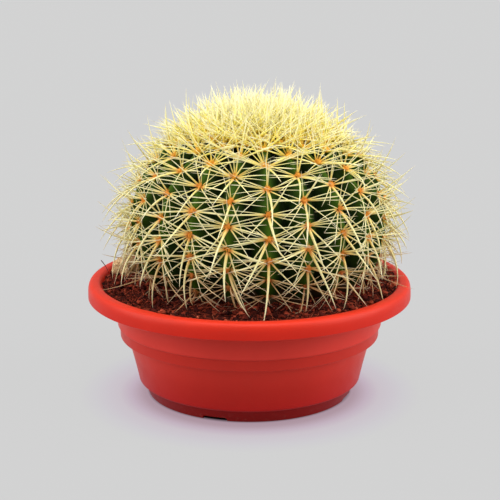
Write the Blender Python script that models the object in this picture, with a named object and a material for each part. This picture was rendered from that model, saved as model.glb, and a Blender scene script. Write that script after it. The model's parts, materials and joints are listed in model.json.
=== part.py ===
"""A golden barrel cactus in a plastic bowl planter filled with coir mix.

Metres, +Z up. The origin is on the bowl's axis, on the surface that the bowl stands on, and the
photographed front faces -Y. Three pieces: the bowl, the mix that fills it, and the plant, which is
one body with its ribs, its spines and the tapering base that stands in a hole in the mix.
"""

import math
import random

import bmesh
import bpy
import numpy as np

SEED = 21

# The bowl. Its skin is one moulded sheet of even thickness, and the lip is open underneath. EASE
# is the size of the small slopes that ease its edges and ledges.
SIDES = 60
WALL = 0.0024
EASE = 0.0006
LIP_R = 0.140
LIP_CREST_R = 0.1310
LIP_TOP_Z = 0.1005
LIP_BOTTOM_Z = 0.0864
LIP_FULLNESS = 4.2
LIP_STEPS = 6
CHANNEL_STEPS = 2
FLARE = ((0.1278, 0.0915), (0.1165, 0.0866))
COLLAR_TOP_R = 0.1126
COLLAR_TOP_Z = 0.0825
COLLAR_R = 0.1151
COLLAR_Z = 0.0623
RING_R = 0.1130
RING_Z = 0.0520
BODY_BOTTOM_R = 0.0966
BODY_BOTTOM_Z = 0.0112
BODY_FLARE = 0.205
BODY_CURVE = 1.05
FOOT_TOP_R = 0.0930
FOOT_R = 0.0886
FOOT_WIDTH = 0.0040
FLOOR_Z = 0.0102
NOTCHES = 4
NOTCH_TURN = math.radians(-19.0)
NOTCH_WIDTH = 0.0215
NOTCH_HEIGHT = 0.0034
CUTTER_LENGTH = 0.014
DRAINS = 6
DRAIN_R = 0.0045
DRAIN_CIRCLE_R = 0.056

# The gap that the mix keeps to the bowl and to the plant.
GAP = 0.0003

# The mix. Its top is uneven by a few millimetres and ends just below the lip's crest. Each wave
# has its turns for a metre along X and Y, its phase, and its share of the height. A mound of this
# height lies round the plant, up to this far from the plant's axis.
SOIL_Z = 0.0972
SOIL_WAVE = 0.0017
SOIL_WAVES = ((61, 23, 0.0, 0.37), (-37, 71, 1.3, 0.37), (113, -57, 2.1, 0.26))
SOIL_RISE = 0.0050
MOUND_R = 0.124
MOUND_WIDTH = 0.034
SOIL_RINGS = (0.0, 0.33, 0.67, 1.0)

# The plant. The ribs' crests follow a flattened ball, given by its half heights above and below
# the widest level, and by how full the two halves are. Between two crests the skin falls to a
# valley, past a flank point at this share of the half pitch and of the depth.
AXIS_X = 0.0074
RIBS = 21
FIRST_RIB = math.radians(4.2)
CREST_R = 0.110
EQUATOR_Z = 0.148
UPPER_HEIGHT = 0.084
UPPER_FULLNESS = 2.36
LOWER_HEIGHT = 0.078
LOWER_FULLNESS = 2.2
CROWN_DIP = 0.004
CROWN_R = 0.026
RIB_DEPTH = 0.0150
FLANK_DEPTH = 0.44
FLANK_PLACE = 0.52
RIB_START = 0.022
SHALLOWEST = 0.15
BODY_ROWS = 13
LAST_RING = 0.006
SOIL_LINE_Z = 0.1025

# The buried base: radius and height of each ring, down to the root's end.
BASE = ((0.0790, 0.0880), (0.0480, 0.0620))
ROOT_END_Z = 0.0400

# Areoles, by arc length from the plant's widest level. The first spacing widens upward, and the
# second, which starts at the areole numbered CROWN_START, narrows towards the middle.
FIRST_AREOLE = -2
LAST_AREOLE = 9
CROWN_START = 4
LEVEL_ARC = -0.004
SPACING = 0.0166
WIDENING = 0.00095
CROWN_ARC = 0.0776
CROWN_SPACING = 0.0233
NARROWING = 0.0020

# Spines: lengths, and radii of the roots that are sunk into the rib. Each leaves the rib a little
# off the areole's middle. From the areole numbered CROWN on none lies across, and from INNERMOST
# on none points down.
CENTRAL_LENGTH = 0.043
OUTWARD_LENGTH = 0.038
SIDE_LENGTH = 0.031
CENTRAL_RADIUS = 0.00125
SIDE_RADIUS = 0.00085
ROOT_SINK = 0.0024
AREOLE_R = 0.0030
FLANK_SLOPE = 0.8
CROWN = 4.75
INNERMOST = 7.75
REACH = 0.1392
TOP_REACH = 0.272
CLEARANCE = 0.0016
LIP_INNER_R = LIP_CREST_R - 0.004

# Angles of the spines in degrees, on the oldest areoles and on the youngest: how far a kind is
# lifted off the skin, and how far it swings to either side.
YOUNG_ARC = (0.078, 0.138)
DOWN_LIFT = (27.0, 62.0)
DOWN_SWING = (16.0, 6.0)
SIDE_TURN = 88.0
SIDE_LIFT = (14.0, 34.0)
SIDE_LIFT_SWING = 4.0
SIDE_SWING = 10.0
OUT_LIFT = (58.0, 76.0)
OUT_SWING = (30.0, 8.0)
STRETCH = 0.1
YOUNG_SHORTER = 0.3


def clear_scene():
    for thing in list(bpy.data.objects):
        bpy.data.objects.remove(thing, do_unlink=True)


def material(name, colour, roughness):
    made = bpy.data.materials.new(name)
    made.use_nodes = True
    shader = made.node_tree.nodes["Principled BSDF"]
    shader.inputs["Base Color"].default_value = (*colour, 1.0)
    shader.inputs["Roughness"].default_value = roughness
    shader.inputs["Metallic"].default_value = 0.0
    made.diffuse_color = (*colour, 1.0)
    return made


def placed(name, mesh, look=None):
    thing = bpy.data.objects.new(name, mesh)
    bpy.context.scene.collection.objects.link(thing)
    if look:
        mesh.materials.append(look)
    return thing


def lofted(name, rings, bottom, top, look=None):
    """A closed skin through rings of equally many points, from the lowest up, with two end points."""
    count = len(rings[0])
    points = [bottom]
    for ring in rings:
        points.extend(ring)
    points.append(top)
    faces = []
    for i in range(count):
        j = (i + 1) % count
        faces.append((0, 1 + j, 1 + i))
        for row in range(len(rings) - 1):
            low = 1 + row * count
            high = low + count
            faces.append((low + i, low + j, high + j, high + i))
        last = 1 + (len(rings) - 1) * count
        faces.append((last + i, last + j, len(points) - 1))
    mesh = bpy.data.meshes.new(name)
    mesh.from_pydata(points, [], faces)
    mesh.validate()
    mesh.shade_smooth()
    mesh.set_sharp_from_angle(angle=math.radians(40))
    return placed(name, mesh, look)


def moved_out(outline, distance):
    """The outline of (radius, height) points, each moved to the left of its run by the distance."""
    moved = []
    for i, here in enumerate(outline):
        before = outline[max(i - 1, 0)]
        after = outline[min(i + 1, len(outline) - 1)]
        normals = []
        for a, b in ((before, here), (here, after)):
            run = (b[0] - a[0], b[1] - a[1])
            length = math.hypot(*run)
            if length > 0:
                normals.append((-run[1] / length, run[0] / length))
        nx = sum(n[0] for n in normals) / len(normals)
        nz = sum(n[1] for n in normals) / len(normals)
        share = distance / (nx * nx + nz * nz)
        moved.append((here[0] + nx * share, here[1] + nz * share))
    return moved


def lip_arc(crest_r, outer_r, low_z, high_z, steps):
    """The lip's dome from its crest out to its lower edge."""
    arc = []
    for i in range(steps + 1):
        turn = 0.5 * math.pi * i / steps
        out = math.sin(turn) ** (2 / LIP_FULLNESS)
        up = math.cos(turn) ** (2 / LIP_FULLNESS) if i < steps else 0.0
        arc.append((crest_r + (outer_r - crest_r) * out, low_z + (high_z - low_z) * up))
    return arc


def body_radius(z):
    """The bowl's gently flaring body, under its second ring."""
    above = z - BODY_BOTTOM_Z
    return BODY_BOTTOM_R + BODY_FLARE * above + BODY_CURVE * above * above


def flare_outline():
    """The skin's outer face where the wall flares out under the lip, down to the collar."""
    top = (LIP_CREST_R - WALL / 2, LIP_TOP_Z - WALL - EASE)
    return [top, *FLARE, (COLLAR_TOP_R, COLLAR_TOP_Z)]


def body_outline(inward, top_z, low_z, steps):
    """The flaring body's side from the second ring down, moved inward by this much."""
    heights = [top_z + (low_z - top_z) * i / steps for i in range(steps + 1)]
    return [(body_radius(z) - inward, z) for z in heights]


def wall_outline():
    """The skin's outer face from the lip's channel down to the foot."""
    outline = flare_outline()
    outline += [(COLLAR_R, COLLAR_Z), (RING_R, COLLAR_Z - EASE), (RING_R - EASE / 3, RING_Z)]
    outline += body_outline(0.0, RING_Z - EASE, BODY_BOTTOM_Z + WALL, 3)
    return outline + [(BODY_BOTTOM_R - 2 * EASE, BODY_BOTTOM_Z + EASE / 2)]


def inner_outline():
    """The face that the mix lies against, from the crest down to the floor's edge."""
    outline = [(LIP_CREST_R - 2 * EASE, LIP_TOP_Z - EASE)]
    outline += moved_out(flare_outline(), -WALL)[1:]
    outline += [(RING_R - WALL - EASE, RING_Z + WALL + EASE)]
    outline += [(body_radius(RING_Z) - WALL + EASE, RING_Z + WALL - EASE)]
    outline += body_outline(WALL, RING_Z - WALL, BODY_BOTTOM_Z + WALL, 2)
    return outline + [(BODY_BOTTOM_R - WALL - FOOT_WIDTH, FLOOR_Z + WALL)]


def bowl_profile():
    """The bowl's closed section, from the floor's middle up the inside and down the outside."""
    profile = [(0.0, FLOOR_Z + WALL)] + inner_outline()[::-1]
    edge_z = LIP_BOTTOM_Z + EASE
    profile += lip_arc(LIP_CREST_R, LIP_R, edge_z, LIP_TOP_Z, LIP_STEPS)
    profile += [(LIP_R - EASE, LIP_BOTTOM_Z), (LIP_R - WALL + EASE, LIP_BOTTOM_Z)]
    under = lip_arc(LIP_CREST_R, LIP_R - WALL, edge_z, LIP_TOP_Z - WALL, CHANNEL_STEPS)
    profile += under[-2:0:-1] + wall_outline()
    profile += [(FOOT_TOP_R, BODY_BOTTOM_Z - EASE), (FOOT_R, 0.0)]
    profile += [(FOOT_R - FOOT_WIDTH, 0.0), (FOOT_R - FOOT_WIDTH - EASE, FLOOR_Z), (0.0, FLOOR_Z)]
    return profile


def make_pot(look):
    mesh = bpy.data.meshes.new("pot")
    profile = bowl_profile()
    edges = [(i, i + 1) for i in range(len(profile) - 1)]
    mesh.from_pydata([(r, 0.0, z) for r, z in profile], edges, [])
    pot = placed("pot", mesh, look)
    screw = pot.modifiers.new("turned", "SCREW")
    screw.steps = SIDES
    screw.render_steps = SIDES
    screw.use_merge_vertices = True
    screw.merge_threshold = 0.00002
    screw.use_smooth_shade = True
    cut = pot.modifiers.new("drainage", "BOOLEAN")
    cut.operation = "DIFFERENCE"
    cut.solver = "EXACT"
    cut.operand_type = "COLLECTION"
    cut.collection = drainage_cutters()
    return pot


def hide_cutter(cutter):
    cutter.hide_render = True
    cutter.display_type = "WIRE"


def drainage_cutters():
    """The notches in the foot ring and the round holes in the floor, as hidden cutters."""
    group = bpy.data.collections.new("drainage")
    bpy.context.scene.collection.children.link(group)
    for i in range(NOTCHES):
        turn = NOTCH_TURN + 2 * math.pi * i / NOTCHES
        mesh = bpy.data.meshes.new("notch")
        shape = bmesh.new()
        bmesh.ops.create_cube(shape, size=1.0)
        size = (NOTCH_WIDTH, CUTTER_LENGTH, 2 * NOTCH_HEIGHT)
        bmesh.ops.scale(shape, vec=size, verts=shape.verts)
        shape.to_mesh(mesh)
        shape.free()
        notch = bpy.data.objects.new(f"notch_cutter_{i}", mesh)
        middle = FOOT_R - FOOT_WIDTH / 2
        notch.location = (middle * math.sin(turn), -middle * math.cos(turn), 0.0)
        notch.rotation_euler = (0.0, 0.0, turn)
        group.objects.link(notch)
        hide_cutter(notch)
    for i in range(DRAINS):
        turn = 2 * math.pi * (i + 0.5) / DRAINS
        mesh = bpy.data.meshes.new("drain")
        shape = bmesh.new()
        bmesh.ops.create_cone(
            shape,
            cap_ends=True,
            segments=12,
            radius1=DRAIN_R,
            radius2=DRAIN_R,
            depth=CUTTER_LENGTH,
        )
        shape.to_mesh(mesh)
        shape.free()
        drain = bpy.data.objects.new(f"drain_cutter_{i}", mesh)
        drain.location = (
            DRAIN_CIRCLE_R * math.sin(turn),
            -DRAIN_CIRCLE_R * math.cos(turn),
            FLOOR_Z + WALL / 2,
        )
        group.objects.link(drain)
        hide_cutter(drain)
    return group


def ring_of(radius, z, sides, centre_x=0.0):
    turns = [2 * math.pi * i / sides for i in range(sides)]
    return [(centre_x + radius * math.cos(t), radius * math.sin(t), z) for t in turns]


def soil_height(x, y):
    """The mix's uneven top: a few crossing waves, a little higher round the plant."""
    waves = sum(share * math.sin(a * x + b * y + phase) for a, b, phase, share in SOIL_WAVES)
    mound = smooth((MOUND_R - math.hypot(x - AXIS_X, y)) / MOUND_WIDTH)
    return SOIL_Z + SOIL_WAVE * waves + SOIL_RISE * mound


def base_outline():
    """The buried base from the root's end up to the soil line."""
    top = (crest_at_height(SOIL_LINE_Z)[0], SOIL_LINE_Z)
    return [*reversed(BASE), top]


def make_soil(look):
    """The mix: the bowl's inside less a gap, with an uneven top and a plain hole for the plant."""
    inside = moved_out(inner_outline(), -GAP)[::-1]
    wall_r = [r for r, z in inside]
    wall_z = [z for r, z in inside]
    lowest = (inside[0][0], FLOOR_Z + WALL + GAP)
    wall = [lowest] + [(r, z) for r, z in inside[1:] if z < SOIL_Z - SOIL_WAVE]
    rings = [ring_of(r, z, SIDES) for r, z in wall]
    socket = moved_out(base_outline(), -GAP)
    socket_r = socket[-1][0]
    for share in SOIL_RINGS:
        ring = []
        for i in range(SIDES):
            turn = 2 * math.pi * i / SIDES
            edge_z = soil_height(wall_r[-2] * math.cos(turn), wall_r[-2] * math.sin(turn))
            edge_r = float(np.interp(edge_z, wall_z, wall_r))
            outer = (edge_r * math.cos(turn), edge_r * math.sin(turn))
            inner = (AXIS_X + socket_r * math.cos(turn), socket_r * math.sin(turn))
            x = outer[0] + (inner[0] - outer[0]) * share
            y = outer[1] + (inner[1] - outer[1]) * share
            z = edge_z if share == 0.0 else soil_height(x, y)
            ring.append((x, y, min(z, SOIL_LINE_Z - GAP)))
        rings.append(ring)
    rings += [ring_of(r, z, SIDES, AXIS_X) for r, z in reversed(socket[:-1])]
    top = (AXIS_X, 0.0, ROOT_END_Z - 2 * GAP)
    return lofted("soil", rings, (0.0, 0.0, lowest[1]), top, look)


def crest_curve():
    """Arc length above the widest level, radius and height along a rib's crest, as three arrays."""
    low = np.linspace(-1.0, 0.0, 300, endpoint=False)
    high = np.linspace(0.0, 0.5 * math.pi, 600)
    turn = np.concatenate([low, high])
    height = np.where(turn < 0, LOWER_HEIGHT, UPPER_HEIGHT)
    power = 2 / np.where(turn < 0, LOWER_FULLNESS, UPPER_FULLNESS)
    radius = CREST_R * np.abs(np.cos(turn)) ** power
    z = EQUATOR_Z + np.sign(turn) * height * np.abs(np.sin(turn)) ** power
    z -= CROWN_DIP * np.clip(1 - radius / CROWN_R, 0, 1) ** 1.5 * (turn > 0)
    arc = np.concatenate([[0.0], np.cumsum(np.hypot(np.diff(radius), np.diff(z)))])
    return arc - arc[len(low)], radius, z


ARC, ARC_R, ARC_Z = crest_curve()
APEX_ARC = float(ARC[-1])


def crest_at(arc):
    """Radius, height and outward normal (radial and upward part) of the crest at this arc length."""
    step = 0.0015
    r, z = np.interp(arc, ARC, ARC_R), np.interp(arc, ARC, ARC_Z)
    ahead = min(arc + step, APEX_ARC)
    behind = ahead - 2 * step
    run_r = np.interp(ahead, ARC, ARC_R) - np.interp(behind, ARC, ARC_R)
    run_z = np.interp(ahead, ARC, ARC_Z) - np.interp(behind, ARC, ARC_Z)
    length = math.hypot(run_r, run_z)
    return float(r), float(z), float(run_z / length), float(-run_r / length)


def crest_at_height(z):
    """The crest's radius and arc length where its lower half passes this height."""
    lower = ARC <= 0
    arc = float(np.interp(z, ARC_Z[lower], ARC[lower]))
    return crest_at(arc)[0], arc


def smooth(value):
    share = min(max(value, 0.0), 1.0)
    return share * share * (3 - 2 * share)


def rib_depth(arc, radius):
    """How deep the valleys lie: they run out at the soil line and at the crown."""
    soil_arc = crest_at_height(SOIL_LINE_Z)[1]
    return min(RIB_DEPTH * smooth((arc - soil_arc) / RIB_START), SHALLOWEST * radius)


def on_plant(radius, turn, z):
    """A point at this radius and height of the plant, turned from its photographed front."""
    return (AXIS_X + radius * math.sin(turn), -radius * math.cos(turn), z)


def body_ring(arc):
    """Four points a rib: crest, flank, valley and flank."""
    r, z, out, up = crest_at(arc)
    depth = rib_depth(arc, r)
    pitch = 2 * math.pi / RIBS
    ring = []
    for rib in range(RIBS):
        start = FIRST_RIB + rib * pitch
        half = 0.5 * FLANK_PLACE * pitch
        for turn, share in (
            (start, 0.0),
            (start + half, FLANK_DEPTH),
            (start + 0.5 * pitch, 1.0),
            (start + pitch - half, FLANK_DEPTH),
        ):
            inward = depth * share
            ring.append(on_plant(r - inward * out, turn, z - inward * up))
    return ring


def make_body(look):
    soil_arc = crest_at_height(SOIL_LINE_Z)[1]
    count = 4 * RIBS
    rings = []
    for r, z in base_outline()[:-1]:
        turns = [FIRST_RIB + 2 * math.pi * i / count for i in range(count)]
        rings.append([on_plant(r, t, z) for t in turns])
    last_arc = APEX_ARC - LAST_RING
    for row in range(BODY_ROWS):
        share = row / (BODY_ROWS - 1)
        rings.append(body_ring(soil_arc + (last_arc - soil_arc) * share))
    apex = crest_at(APEX_ARC)
    return lofted("cactus", rings, (AXIS_X, 0.0, ROOT_END_Z), (AXIS_X, 0.0, apex[1]), look)


def areole_arc(number):
    """Arc length of the areole with this number: even spacing low down, then wider, then dense."""
    if number < CROWN_START:
        return LEVEL_ARC + SPACING * number + WIDENING * max(number, 0) ** 2
    above = number - CROWN_START
    return CROWN_ARC + CROWN_SPACING * above - NARROWING * above * above


def areoles():
    """(rib, number, turn, arc) of every areole. Neighbouring ribs are half a spacing apart."""
    found = []
    for rib in range(RIBS):
        signed = rib if rib <= RIBS // 2 else rib - RIBS
        number = FIRST_AREOLE + 0.5 * (abs(signed) % 2)
        while number <= LAST_AREOLE:
            found.append((rib, number, FIRST_RIB + 2 * math.pi * rib / RIBS, areole_arc(number)))
            number += 1
    return found


def aged(angles, youth):
    """The angle, in radians, between an old areole's and a young one's."""
    return math.radians(angles[0] + (angles[1] - angles[0]) * youth)


def directed(turn, out, up, around, lift):
    """A unit direction at an areole: turned around from uphill, and lifted off the skin."""
    side = np.array([math.cos(turn), math.sin(turn), 0.0])
    away = np.array([math.sin(turn), -math.cos(turn), 0.0])
    normal = away * out + np.array([0.0, 0.0, up])
    uphill = np.array([0.0, 0.0, out]) - away * up
    flat = uphill * math.cos(around) + side * math.sin(around)
    return flat * math.cos(lift) + normal * math.sin(lift)


def floor_under(point):
    """The height that a spine stays above at this point: the mix's top, or the lip's."""
    over_lip = math.hypot(point[0], point[1]) > LIP_INNER_R
    return (LIP_TOP_Z if over_lip else soil_height(point[0], point[1])) + CLEARANCE


def spine_ends(arc, turn, around, lift, length):
    """Root and tip. A spine is raised clear of the mix and the lip, and kept within the reach.

    It leaves the rib a little off the areole's middle, on its own side, and its root is sunk
    straight in from there, so that the roots of one areole stay clear of each other.
    """
    r, z, out, up = crest_at(arc)
    normal = directed(turn, out, up, 0.0, 0.5 * math.pi)
    offset = AREOLE_R * directed(turn, out, up, around, 0.0)
    fall = FLANK_SLOPE * AREOLE_R * abs(math.sin(around)) * rib_depth(arc, r) / RIB_DEPTH
    start = np.array(on_plant(r, turn, z)) + offset - normal * fall
    along = directed(turn, out, up, around, lift)
    while True:
        tip = start + along * length
        middle = start + along * length * 0.5
        if tip[2] < floor_under(tip) or middle[2] < floor_under(middle):
            along = along + np.array([0.0, 0.0, 0.08])
            along /= np.linalg.norm(along)
        elif max(abs(tip[0]), abs(tip[1])) > REACH or tip[2] > TOP_REACH:
            length *= 0.96
        else:
            return start - normal * ROOT_SINK, tip


def spine_mesh(root, tip, radius):
    """A closed three-sided spine, from its sunk root to a fine point."""
    along = (tip - root) / np.linalg.norm(tip - root)
    across = np.cross(along, [0.31, 0.17, 0.93])
    across /= np.linalg.norm(across)
    other = np.cross(along, across)
    points = []
    for corner in range(3):
        turn = 2 * math.pi * corner / 3
        points.append(tuple(root + radius * (across * math.cos(turn) + other * math.sin(turn))))
    points.append(tuple(tip))
    mesh = bpy.data.meshes.new("spine")
    mesh.from_pydata(points, [], [(2, 1, 0), (0, 1, 3), (1, 2, 3), (2, 0, 3)])
    return mesh


def spine_plan(rib, number, arc, draw):
    """(turned around, lift, length, radius) of each spine of an areole.

    Turned around is measured from uphill. On the sides of the plant one long spine points down,
    two lie across, and every second areole has one that stands out. Towards the crown two stand
    up from each areole, and one from each of the innermost, leaning over the middle.
    """
    youth = smooth((arc - YOUNG_ARC[0]) / (YOUNG_ARC[1] - YOUNG_ARC[0]))
    wiggle = [draw.uniform(-1, 1) for _ in range(6)]
    stretch = 1 + STRETCH * wiggle[0]
    plan = []
    if number < INNERMOST:
        around = math.pi + aged(DOWN_SWING, youth) * wiggle[1]
        length = CENTRAL_LENGTH * stretch * (1 - YOUNG_SHORTER * youth)
        plan.append((around, aged(DOWN_LIFT, youth), length, CENTRAL_RADIUS))
    if number < CROWN:
        tilt = math.radians(SIDE_SWING) * wiggle[2]
        lift = aged(SIDE_LIFT, youth) + math.radians(SIDE_LIFT_SWING) * wiggle[3]
        for side in (-1, 1):
            length = SIDE_LENGTH * (1 + STRETCH * side * wiggle[4])
            plan.append((side * math.radians(SIDE_TURN) + tilt, lift, length, SIDE_RADIUS))
    if number >= CROWN or (int(number) + rib) % 2 == 0:
        around = aged(OUT_SWING, youth) * wiggle[5]
        plan.append((around, aged(OUT_LIFT, youth), OUTWARD_LENGTH * stretch, SIDE_RADIUS))
    return plan


def make_spines():
    """One object for each spine, in a collection of their own."""
    group = bpy.data.collections.new("spines")
    bpy.context.scene.collection.children.link(group)
    draw = random.Random(SEED)
    for rib, number, turn, arc in areoles():
        for around, lift, length, radius in spine_plan(rib, number, arc, draw):
            root, tip = spine_ends(arc, turn, around, lift, length)
            group.objects.link(bpy.data.objects.new("spine", spine_mesh(root, tip, radius)))
    return group


def fuse(body, group):
    """Joins every object of the collection to the body, and removes the collection's objects."""
    union = body.modifiers.new("spines", "BOOLEAN")
    union.operation = "UNION"
    union.solver = "EXACT"
    union.operand_type = "COLLECTION"
    union.collection = group
    bpy.context.view_layer.objects.active = body
    with bpy.context.temp_override(object=body, active_object=body):
        bpy.ops.object.modifier_apply(modifier=union.name)
    for thing in list(group.objects):
        bpy.data.objects.remove(thing, do_unlink=True)
    bpy.data.collections.remove(group)


def main():
    clear_scene()
    make_pot(material("pot", (0.42, 0.035, 0.018), 0.45))
    make_soil(material("soil", (0.085, 0.028, 0.016), 0.95))
    cactus = make_body(material("cactus", (0.045, 0.13, 0.035), 0.5))
    fuse(cactus, make_spines())


main()
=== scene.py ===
"""The looks of a golden barrel cactus in a plastic bowl planter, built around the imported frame.

Metres, +Z up, the photographed front faces -Y. The bowl, the growing mix and the plant are finer
pieces that stand for the frame's three nodes and keep their form.
"""

import json
import math

import bmesh
import bpy
import numpy as np
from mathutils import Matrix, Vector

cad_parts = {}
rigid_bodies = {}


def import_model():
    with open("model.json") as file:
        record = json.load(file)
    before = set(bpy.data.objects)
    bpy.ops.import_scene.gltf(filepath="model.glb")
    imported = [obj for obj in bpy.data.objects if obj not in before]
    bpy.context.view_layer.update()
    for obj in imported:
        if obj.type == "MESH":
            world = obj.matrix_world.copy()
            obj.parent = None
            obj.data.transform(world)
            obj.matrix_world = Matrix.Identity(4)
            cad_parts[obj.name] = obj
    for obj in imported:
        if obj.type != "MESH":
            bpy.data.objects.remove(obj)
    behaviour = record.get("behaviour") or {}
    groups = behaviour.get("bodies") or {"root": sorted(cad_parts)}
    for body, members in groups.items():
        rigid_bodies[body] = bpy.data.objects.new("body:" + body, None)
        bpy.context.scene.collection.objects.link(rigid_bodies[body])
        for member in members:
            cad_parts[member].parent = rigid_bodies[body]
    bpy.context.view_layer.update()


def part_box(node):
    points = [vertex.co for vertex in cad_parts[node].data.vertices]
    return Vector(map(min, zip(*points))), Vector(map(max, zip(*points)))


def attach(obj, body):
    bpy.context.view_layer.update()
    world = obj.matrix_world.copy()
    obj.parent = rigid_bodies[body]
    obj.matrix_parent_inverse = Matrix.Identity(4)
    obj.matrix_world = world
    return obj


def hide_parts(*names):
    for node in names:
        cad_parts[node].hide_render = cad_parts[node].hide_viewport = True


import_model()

SEED = 21

# The bowl, as in the frame: radii, heights, and (radius, height) points. EASE is the size of the
# small slopes that ease its edges and ledges. The other two round the corners inside and outside.
WALL = 0.0024
EASE = 0.0006
EASE_INSIDE = 0.0010
EASE_OUTSIDE = 0.0009
LIP_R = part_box("pot")[1].x
LIP_CREST_R = 0.1310
LIP_INNER_R = LIP_CREST_R - 0.004
LIP_TOP_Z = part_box("pot")[1].z
LIP_BOTTOM_Z = 0.0864
LIP_FULLNESS = 4.2
FLARE = ((0.1278, 0.0915), (0.1165, 0.0866), (0.1126, 0.0825))
COLLAR_R = 0.1151
COLLAR_Z = 0.0623
RING_R = 0.1130
RING_Z = 0.0520
BODY_BOTTOM_R = 0.0966
BODY_BOTTOM_Z = 0.0112
BODY_FLARE = 0.205
BODY_CURVE = 1.05
FOOT_TOP_R = 0.0930
FOOT_R = 0.0886
FOOT_WIDTH = 0.0040
FLOOR_Z = 0.0102
NOTCHES = 4
NOTCH_TURN = math.radians(-19.0)
NOTCH_WIDTH = 0.0215
NOTCH_HEIGHT = 0.0034
NOTCH_ROUND = 0.0009
CUTTER_LENGTH = 0.014
DRAINS = 6
DRAIN_R = 0.0045
DRAIN_CIRCLE_R = 0.056
BOWL_SEGMENTS = 288
SHARP = math.radians(38)

# The growing mix. Each wave of its top has its radians for a metre along X and along Y, its phase
# and its share. Each layer of lumps has its height, size, seed and number of octaves.
GAP = 0.0003
SOIL_Z = 0.0972
SOIL_WAVE = 0.0017
SOIL_WAVES = ((61, 23, 0.0, 0.37), (-37, 71, 1.3, 0.37), (113, -57, 2.1, 0.26))
SOIL_LUMPS = ((0.0016, 0.0090, 1, 2), (0.0010, 0.0034, 4, 3))
SOIL_RISE = 0.0050
MOUND_R = 0.124
MOUND_WIDTH = 0.034
WALLED_Z = 0.0920
MIX_ROWS = 44

# Crumbs: name, fineness, number, least and greatest radius. Then the ranges of their stretch along
# each axis and of their points' radii, and how far they stand out of the mix, in radii.
CRUMBS = (
    ("crumbs", 1, 8200, 0.0004, 0.0014),
    ("lumps", 2, 1300, 0.0010, 0.0028),
    ("clods", 3, 130, 0.0022, 0.0038),
)
CRUMB_STRETCH = ((0.7, 0.45, 0.3), (1.7, 1.0, 0.8))
CRUMB_UNEVEN = (0.55, 1.35)
CRUMB_STANDS = (-0.2, 0.75)

# Fibres: their number, the points along one, ranges of length and radius, curl in radians, arch,
# and height off the mix. Then the husk's place and half sizes, and the twig's ends and radius.
FIBRES = 1300
FIBRE_KNOTS = 9
FIBRE_LENGTH = (0.004, 0.016)
FIBRE_RADIUS = (0.00010, 0.00024)
FIBRE_CURL = 1.6
FIBRE_ARCH = 0.0016
FIBRE_REST = 0.0005
HUSK_AT = (-0.1075, 0.022)
HUSK_SIZE = (0.0100, 0.0085, 0.0100)
TWIG_FROM = (-0.1318, 0.030, 0.1080)
TWIG_TO = (-0.1248, 0.022, 0.0990)
TWIG_RADIUS = 0.00042

# The plant, as in the frame. An arc is the length along a rib's crest from the widest level, and
# it is negative below it. Areoles are numbered up each rib, with wider steps from CROWN_START on.
AXIS_X = 0.0074
RIBS = 21
FIRST_RIB = math.radians(4.2)
PITCH = 2 * math.pi / RIBS
CREST_R = 0.110
EQUATOR_Z = 0.148
UPPER_HEIGHT = 0.084
UPPER_FULLNESS = 2.36
LOWER_HEIGHT = 0.078
LOWER_FULLNESS = 2.2
CROWN_DIP = 0.004
CROWN_R = 0.026
RIB_DEPTH = 0.0150
RIB_START = 0.022
RIB_AT_SOIL = 0.75
SHALLOWEST = 0.15
FLANK_POWER = 1.26
CREST_ROUND = 0.16
SOIL_LINE_Z = 0.1025
ROOT = ((0.0790, 0.0880), (0.0480, 0.0620))
ROOT_END_Z = 0.0400
FIRST_AREOLE = -2
LAST_AREOLE = 9
CROWN_START = 4
LEVEL_ARC = -0.004
SPACING = 0.0166
WIDENING = 0.00095
CROWN_ARC = 0.0776
CROWN_SPACING = 0.0233
NARROWING = 0.0020
BODY_COLUMNS = 18
BODY_ROWS = 232
SKIN_FINE = 0.00035

# Swellings of the crest by each areole: height, distance below it, width. Between them is a pinch.
SWELLS = ((0.0013, 0.0, 0.0052), (0.0005, 0.0062, 0.0042))
PINCH = 0.0004

# Felt pads: half their width and height, and their thickness, with what young ones have more.
PAD = np.array((0.0022, 0.0030, 0.0017))
PAD_YOUNG = np.array((0.0012, 0.0004, 0.0022))
HAIRS = 34
HAIR_LENGTH = (0.0011, 0.0023)
HAIR_RADIUS = 0.00015

# The wool lies on the crown between these two distances from its middle.
WOOL = (0.024, 0.0012)
WOOL_HEIGHT = 0.0034
WOOL_SUNK = 0.0010

# The start and end of each smooth change along the plant: to young areoles, to yellow spines, to
# old ones, to thinner ones, and, by age, to the oldest ones.
YOUNG_ARC = (0.046, 0.116)
YELLOW_ARC = (0.036, 0.121)
OLD_ARC = (0.008, -0.037)
THIN_ARC = (0.012, 0.062)
OLDEST_AGE = (0.6, 0.95)

# Each zone's spines are a piece of their own, from this arc up.
ZONES = (("crown", 0.118), ("shoulder", 0.066), ("upper", 0.026), ("lower", -1.0))

# The kinds of spines on one areole, with angles in degrees and sizes in millimetres: turned from
# uphill, swing, lift off the skin, its swing, length, root radius, share of areoles that have it,
# curve back to the skin. A kind with a turn other than 0 or 180 comes on both sides.
KINDS = (
    ("down", 180, 15, 42, 8, 46.0, 1.36, 1.0, 42),
    ("across_strong", 97, 5, 31, 8, 38.0, 0.96, 0.9, 16),
    ("across_level", 88, 4, 23, 7, 36.0, 0.62, 0.98, 8),
    ("across_upper", 78, 4, 25, 8, 35.0, 0.58, 0.85, 8),
    ("across_lower", 104, 4, 22, 7, 35.0, 0.62, 0.9, 8),
    ("slant_down", 141, 8, 27, 7, 35.0, 0.76, 0.9, 18),
    ("across_drop", 120, 7, 26, 8, 35.0, 0.60, 0.6, 16),
    ("slant_up", 64, 6, 30, 8, 32.0, 0.56, 0.35, 8),
    ("slant_high", 36, 8, 38, 9, 28.0, 0.56, 0.2, 8),
    ("up", 9, 8, 42, 10, 24.0, 0.60, 0.75, 8),
    ("outward", 0, 40, 68, 10, 38.0, 0.96, 0.9, 20),
)

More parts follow.
